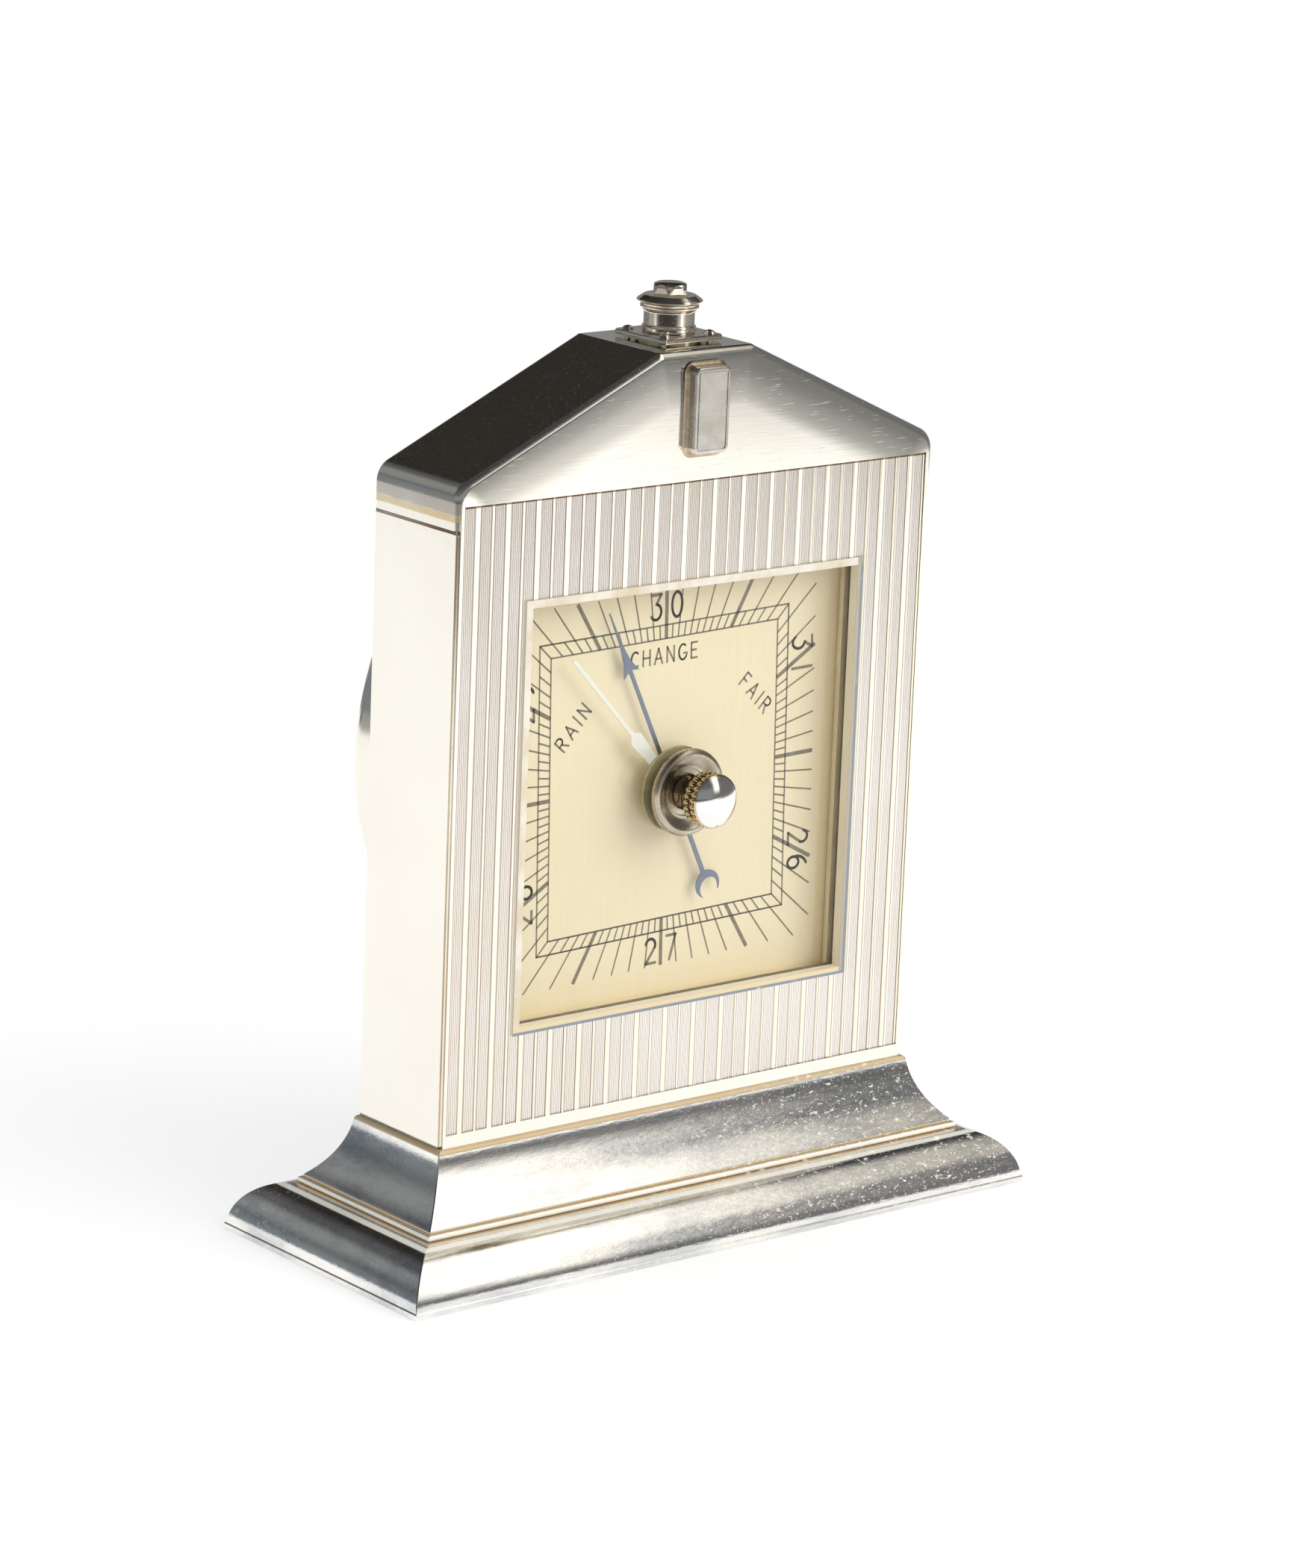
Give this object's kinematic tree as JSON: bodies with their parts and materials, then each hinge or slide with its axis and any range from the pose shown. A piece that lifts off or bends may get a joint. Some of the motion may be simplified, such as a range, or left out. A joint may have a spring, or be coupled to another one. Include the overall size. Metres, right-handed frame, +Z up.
{
  "type": "desk barometer",
  "caption": "Desk aneroid barometer shaped as a pedimented, reeded front on a moulded base, with a square dial behind glass, a set hand and knob, and a round back cover.",
  "frame": {"origin": "middle of the underside of the base, on the surface it stands on", "axes": "+X to the right of someone facing the dial, -Y towards that person, out of the dial, +Z up"},
  "size_m": [0.093, 0.0386, 0.1117],
  "materials": {
    "polished_silver": "silver plate, highly polished, light wear",
    "worn_silver": "silver plate, polished and worn, dark in the hollows",
    "grille_silver": "silver plate, finely reeded",
    "gilt_brass": "lacquered brass",
    "recess_silver": "aged silver plate",
    "dial_metal": "champagne satin, printed",
    "nickel": "nickel plate, polished",
    "hand_silver": "silver plate, satin",
    "blued_steel": "blued, satin",
    "blued_screws": "blued",
    "steel": "polished",
    "movement_brass": "grained and lacquered",
    "capsule_metal": "nickel silver, corrugated",
    "dark_wood": "stained and waxed",
    "clear_glass": "clear, flat"
  },
  "bodies": {
    "case": {"base_moulding": "worn_silver", "base_board": "dark_wood", "board_screws": "gilt_brass", "case_screws": "gilt_brass", "case_shell": "polished_silver", "front_rails": "polished_silver", "grille_panel": "grille_silver", "panel_posts": "gilt_brass", "window_frame": "polished_silver", "window_glass": "clear_glass", "dial_recess": "recess_silver", "dial_plate": "dial_metal", "dial_screws": "gilt_brass", "pediment": "polished_silver", "badge_plate": "polished_silver", "filler_flange": "polished_silver", "flange_screws": "polished_silver", "filler_neck": "polished_silver", "filler_cap": "polished_silver", "filler_hexagon": "polished_silver", "filler_stud": "gilt_brass", "filler_nut": "gilt_brass", "back_cover": "polished_silver", "movement_plate": "movement_brass", "movement_pillars": "movement_brass", "pillar_screws": "blued_screws", "vacuum_capsule": "capsule_metal", "capsule_nut": "movement_brass", "main_spring": "blued_steel", "spring_screws": "blued_screws", "rocker_brackets": "movement_brass", "bracket_screws": "blued_screws", "pull_chain": "steel", "cock_pillars": "movement_brass", "rear_cock": "movement_brass", "front_cock": "movement_brass", "cock_screws": "blued_screws", "hairspring": "blued_steel", "hairspring_stud": "movement_brass", "dish_collar": "nickel", "bush_nut": "gilt_brass"},
    "pointer_body": {"pointer": "blued_steel", "pointer_arbor": "steel", "chain_pulley": "movement_brass"},
    "rocker": {"rocking_shaft": "steel", "chain_arm": "movement_brass"},
    "lever": {"main_lever": "movement_brass", "capsule_post": "steel"},
    "set_knob": {"knob": "nickel", "set_hand": "hand_silver"},
    "reading_screw": {"setting_screw": "blued_screws"}
  },
  "joints": [
    {"name": "pointer_turn", "type": "hinge", "parent": "case", "child": "pointer_body", "pos_m": [0, 0, 0.0533], "axis": [0, 1, 0], "range_deg": [-216.3, 83.7], "stiffness_Nm_per_rad": 0.00005, "deforming": ["hairspring", "pull_chain"]},
    {"name": "rocker_turn", "type": "hinge", "parent": "case", "child": "rocker", "pos_m": [0.015, 0.005, 0.0533], "axis": [0, 0, 1], "range_deg": [-15.1, 38.8]},
    {"name": "lever_lift", "type": "hinge", "parent": "case", "child": "lever", "pos_m": [-0.0194, 0.00617, 0.0533], "axis": [0, 0, 1], "range_deg": [-2.07, 0.81], "deforming": ["main_spring", "vacuum_capsule"]},
    {"name": "set_knob_turn", "type": "hinge", "parent": "case", "child": "set_knob", "pos_m": [0, -0.007, 0.0527], "axis": [0, 1, 0], "continuous": true},
    {"name": "reading_screw_turn", "type": "hinge", "parent": "case", "child": "reading_screw", "pos_m": [-0.0186, 0.0093, 0.0533], "axis": [0, 1, 0], "range_deg": [-180, 180]}
  ],
  "couplings": [
    {"joint": "rocker_turn", "follows": "pointer_turn", "ratio": -0.17857},
    {"joint": "lever_lift", "follows": "pointer_turn", "ratio": 0.009494}
  ]
}
